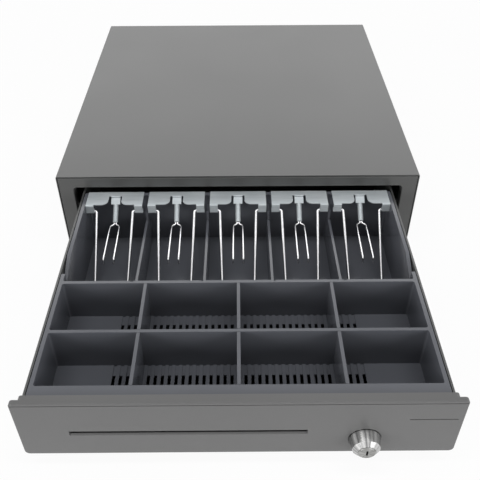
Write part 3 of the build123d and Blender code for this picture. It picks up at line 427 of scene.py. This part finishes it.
bezel = eased_copy("lock_housing", 0.00015)
plug = eased_copy("lock_plug", 0.0001)
plug_corners = [Vector(corner) for corner in plug.bound_box]
lock_axis = sum(plug_corners, Vector()) / len(plug_corners)
# The light and dark colours of the bezel and plug are painted reflection streaks, not a real
# change of the plating.
lock_chrome = turned_metal(
    "lock_chrome", (0.26, 0.26, 0.26), (0.72, 0.72, 0.71), (0.16, 0.26), tuple(lock_axis), 4.2,
)
plug_steel = turned_metal(
    "plug_steel", (0.27, 0.27, 0.26), (0.42, 0.42, 0.41), (0.26, 0.36), tuple(lock_axis), 2.6,
)
dress(bezel, lock_chrome)
dress(plug, plug_steel)
for node in ("lock_nut", "lock_cam"):
    dress(nodes_by_name[node], screw_steel)


# Till: one black moulding with a satin face, lifted out by hand, and its loose dividers.
# All of it is one plastic, with a slight blue in the black.
till_plastic = finish(
    "till_plastic", (0.099, 0.104, 0.119), (0.112, 0.117, 0.133), (0.16, 0.22),
    12.0, (1500, 1500, 1500), 0.3, 0.000002,
)
till = eased_copy("till_tray", 0.0003)
dress(till, till_plastic)
for node in ("coin_dividers_front", "coin_dividers_rear"):
    divider = eased_copy(node, 0.0002)
    dress(divider, till_plastic)
for number in range(1, 5):
    divider = eased_copy(f"bill_divider_{number}", 0.0003)
    dress(divider, till_plastic)


# Clips: stamped zinc-plated plates hooked over the till's rear wall, with bails and forks.
# The plates are dull and faintly blue, and the wires are bright.
clip_steel = finish(
    "clip_steel", (0.48, 0.52, 0.54), (0.59, 0.63, 0.65), (0.56, 0.66),
    30.0, (40, 900, 900), 0.6, 0.000006, metallic=0.65,
)
wire_chrome = finish(
    "wire_chrome", (0.74, 0.74, 0.75), (0.88, 0.88, 0.89), (0.14, 0.24),
    60.0, (500, 500, 500), 0.4, 0.000003, metallic=1.0,
)
for number in range(1, 6):
    plate = eased_copy(f"clip_plate_{number}", 0.0002)
    dress(plate, clip_steel)
    dress(nodes_by_name[f"bill_bail_{number}"], wire_chrome)
    dress(nodes_by_name[f"bill_fork_{number}"], wire_chrome)


# Studio: a white floor, a white surround, large soft lamps and the camera at the photo's angle.
# The floor keeps the object's shadow, and far away it is as white as the surround.
def seen_directly(tree):
    """An output that is 1 for rays from the camera, a reflection or glass, and 0 for the rest."""
    path = tree.nodes.new("ShaderNodeLightPath")
    seen = path.outputs["Is Camera Ray"]
    for ray in ("Is Glossy Ray", "Is Transmission Ray"):
        either = tree.nodes.new("ShaderNodeMath")
        either.operation = "ADD"
        link_all(tree, ((seen, either.inputs[0]), (path.outputs[ray], either.inputs[1])))
        seen = either.outputs["Value"]
    return seen


floor_half = 40.0
paper_white = 0.9
near_glow = 0.94
glow_rises_from = 1.0
glow_full_from = 4.0
bpy.ops.mesh.primitive_plane_add(size=2 * floor_half, location=(0, 0, 0))
floor = bpy.context.object
floor.name = "floor"
floor_white = bpy.data.materials.new("floor_white")
floor_white.use_nodes = True
floor_tree = floor_white.node_tree
floor_tree.nodes.clear()
floor_glow = floor_tree.nodes.new("ShaderNodeEmission")
floor_paper = floor_tree.nodes.new("ShaderNodeBsdfDiffuse")
floor_paper.inputs["Color"].default_value = (paper_white, paper_white, paper_white, 1)
floor_place = floor_tree.nodes.new("ShaderNodeTexCoord")
floor_reach = floor_tree.nodes.new("ShaderNodeVectorMath")
floor_reach.operation = "LENGTH"
far_glow = floor_tree.nodes.new("ShaderNodeMapRange")
far_glow.inputs["From Min"].default_value = glow_rises_from
far_glow.inputs["From Max"].default_value = glow_full_from
far_glow.inputs["To Min"].default_value = near_glow
far_glow.inputs["To Max"].default_value = 1.0
glow_share = floor_tree.nodes.new("ShaderNodeMath")
glow_share.operation = "MULTIPLY"
glow_share.use_clamp = True
floor_mix = floor_tree.nodes.new("ShaderNodeMixShader")
floor_out = floor_tree.nodes.new("ShaderNodeOutputMaterial")
link_all(floor_tree, (
    (seen_directly(floor_tree), glow_share.inputs[0]),
    (floor_place.outputs["Object"], floor_reach.inputs[0]),
    (floor_reach.outputs["Value"], far_glow.inputs["Value"]),
    (far_glow.outputs["Result"], glow_share.inputs[1]),
    (glow_share.outputs["Value"], floor_mix.inputs["Fac"]),
    (floor_paper.outputs["BSDF"], floor_mix.inputs[1]),
    (floor_glow.outputs["Emission"], floor_mix.inputs[2]),
    (floor_mix.outputs["Shader"], floor_out.inputs["Surface"]),
))
dress(floor, floor_white)

sky_light = 0.15
surround = bpy.data.worlds.new("surround")
bpy.context.scene.world = surround
surround.use_nodes = True
sky_tree = surround.node_tree
sky_tree.nodes["Background"].inputs["Color"].default_value = (1, 1, 1, 1)
sky_strength = sky_tree.nodes.new("ShaderNodeMapRange")
sky_strength.inputs["To Min"].default_value = sky_light
sky_strength.inputs["To Max"].default_value = 1.0
link_all(sky_tree, (
    (seen_directly(sky_tree), sky_strength.inputs["Value"]),
    (sky_strength.outputs["Result"], sky_tree.nodes["Background"].inputs["Strength"]),
))


lamp_target = Vector((0, 0, 0.05))


def soft_lamp(name, place, size, brightness, in_reflections=True):
    """A soft lamp aimed at the object, whose face is as bright as white paper times a number."""
    width, height = size
    lamp = bpy.data.lights.new(name, "AREA")
    lamp.shape = "RECTANGLE"
    lamp.size = width
    lamp.size_y = height
    lamp.energy = brightness * math.pi * width * height
    holder = bpy.data.objects.new(name, lamp)
    bpy.context.scene.collection.objects.link(holder)
    holder.location = place
    holder.rotation_euler = (lamp_target - Vector(place)).to_track_quat("-Z", "Y").to_euler()
    holder.visible_glossy = in_reflections


overhead = ((0.0, -0.5, 2.15), (2.6, 0.35))
soft_lamp("rear_lamp", (0.0, 2.35, 1.65), (4.6, 1.6), 1.5)
soft_lamp("overhead_lamp", *overhead, 3.0)
soft_lamp("overhead_fill", *overhead, 6.0, in_reflections=False)
for side in (-1, 1):
    front = ((side * 2.0, -1.7, 0.6), (2.4, 1.1))
    soft_lamp("front_lamp", *front, 1.6)
    soft_lamp("front_fill", *front, 3.4, in_reflections=False)

lens_mm = 48.8
camera_place = (0.0006, -0.6558, 0.5315)
camera_tilt = (51.02, -0.16, -0.28)
camera_shift = -0.0523
camera_data = bpy.data.cameras.new("camera")
camera_data.lens = lens_mm
camera_data.sensor_width = 36.0
camera_data.shift_y = camera_shift
camera_data.clip_start = 0.01
camera = bpy.data.objects.new("camera", camera_data)
bpy.context.scene.collection.objects.link(camera)
pitch, yaw, roll = (math.radians(turn) for turn in camera_tilt)
turned = Euler((0, 0, yaw)).to_matrix() @ Euler((pitch, 0, 0)).to_matrix()
turned = turned @ Euler((0, 0, roll)).to_matrix()
camera.matrix_world = turned.to_4x4()
camera.location = camera_place
bpy.context.scene.camera = camera
bpy.context.scene.view_settings.view_transform = "Standard"
